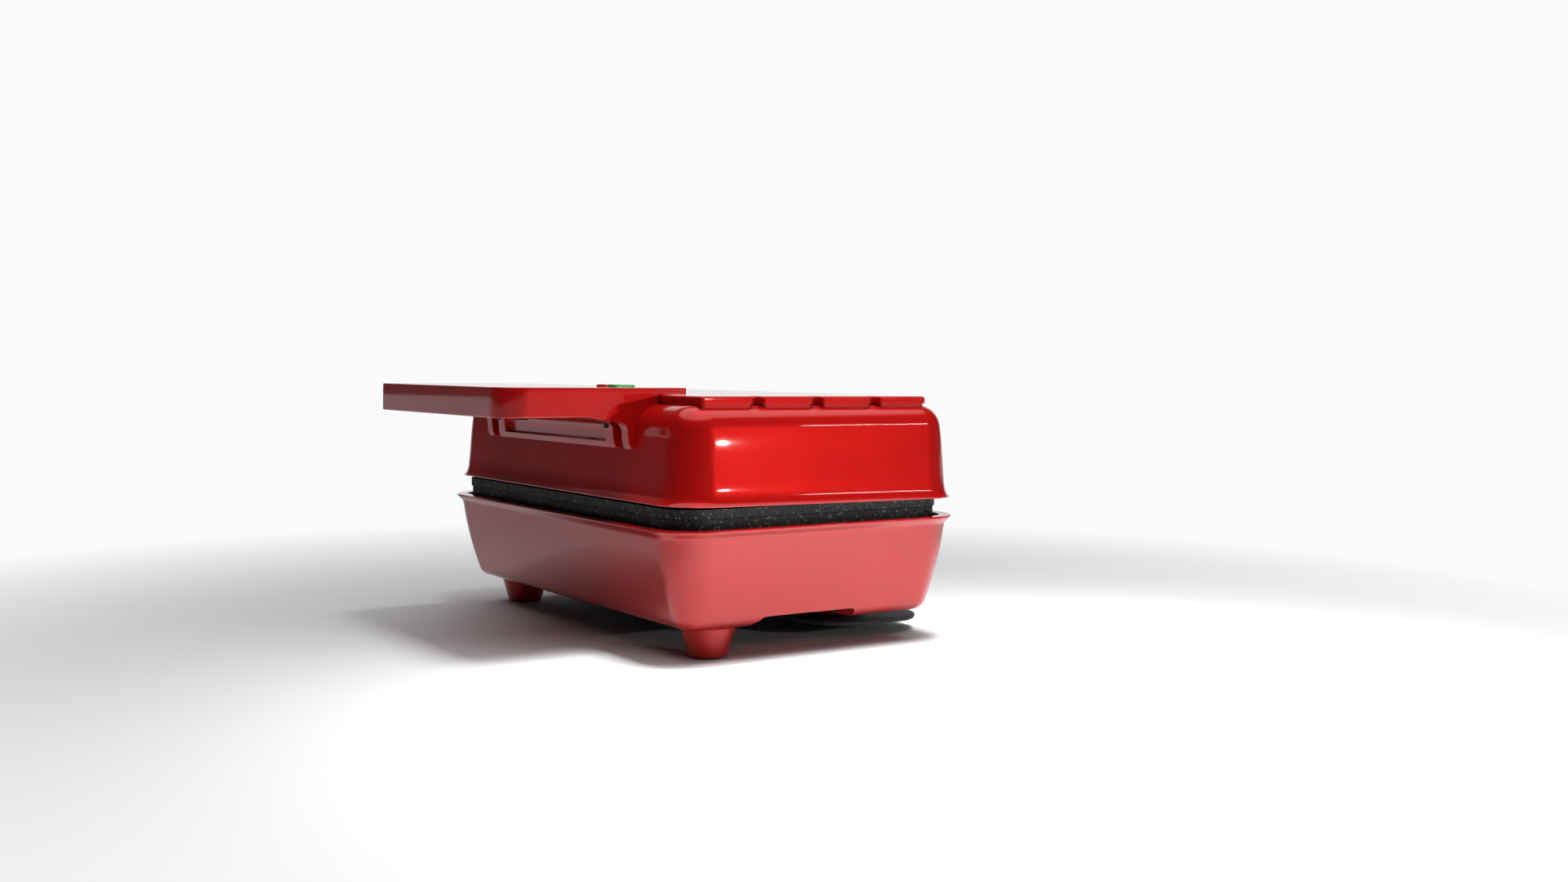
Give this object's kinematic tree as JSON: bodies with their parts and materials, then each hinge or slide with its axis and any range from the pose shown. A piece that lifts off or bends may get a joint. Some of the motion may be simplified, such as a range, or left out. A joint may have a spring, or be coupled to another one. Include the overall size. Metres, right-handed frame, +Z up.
{
  "type": "donut maker",
  "caption": "Clamshell donut maker: glossy red base and lid on a rear hinge, two non-stick plates with ring cavities, a flat front handle with indicator lenses, and a cord wrap underneath.",
  "frame": {"origin": "on the table, under the middle of the closed appliance's box", "axes": "+X to the right along the hinge axis, -Y to the front where the handle is, +Z up"},
  "size_m": [0.26, 0.223, 0.1192],
  "materials": {
    "casing": "high-gloss red moulding",
    "black_moulding": "satin black moulding",
    "rubber_feet": "matt black rubber",
    "non_stick": "die-cast plate with a speckled black non-stick coat",
    "heater_steel": "steel sheath, dulled by heat",
    "shield_sheet": "bright rolled sheet",
    "ceramic_parts": "unglazed technical ceramic",
    "screw_steel": "zinc-plated steel",
    "bush_nylon": "natural nylon",
    "lead_sleeve": "glass-fibre braid",
    "lamp_glass": "clear neon bulb",
    "red_lens": "clear red lens",
    "green_lens": "clear green lens"
  },
  "bodies": {
    "base": {"base_shell": "casing", "bottom_cover": "black_moulding", "front_foot_left": "casing", "front_foot_right": "casing", "front_foot_pads": "rubber_feet", "rear_foot_left": "rubber_feet", "rear_foot_right": "rubber_feet", "cord_wrap_drum": "casing", "cord_wrap_plate": "black_moulding", "cord_gland": "black_moulding", "lower_plate": "non_stick", "lower_heater": "heater_steel", "lower_heater_saddles": "ceramic_parts", "lower_heat_shield": "shield_sheet", "thermostat": "ceramic_parts", "thermal_fuse": "shield_sheet", "terminal_block": "ceramic_parts", "base_leads": "lead_sleeve", "foot_screws": "screw_steel", "cover_screws": "screw_steel", "cord_wrap_screws": "screw_steel", "lower_plate_screws": "screw_steel", "hinge_pin_left": "screw_steel", "hinge_pin_right": "screw_steel"},
    "lid": {"lid_shell": "casing", "top_panel": "casing", "handle_shell": "casing", "handle_cover": "casing", "upper_plate": "non_stick", "upper_heater": "heater_steel", "upper_heater_saddles": "ceramic_parts", "upper_heat_shield": "shield_sheet", "upper_thermal_cutout": "ceramic_parts", "lamp_holder": "black_moulding", "red_lamp": "lamp_glass", "green_lamp": "lamp_glass", "red_lens": "red_lens", "green_lens": "green_lens", "upper_plate_screws": "screw_steel", "handle_screws": "screw_steel", "handle_cover_screws": "screw_steel", "hinge_bushes": "bush_nylon"}
  },
  "joints": [
    {"name": "lid_hinge", "type": "hinge", "parent": "base", "child": "lid", "pos_m": [0, 0.1051, 0.063], "axis": [-1, 0, 0], "range_deg": [0, 100]}
  ]
}
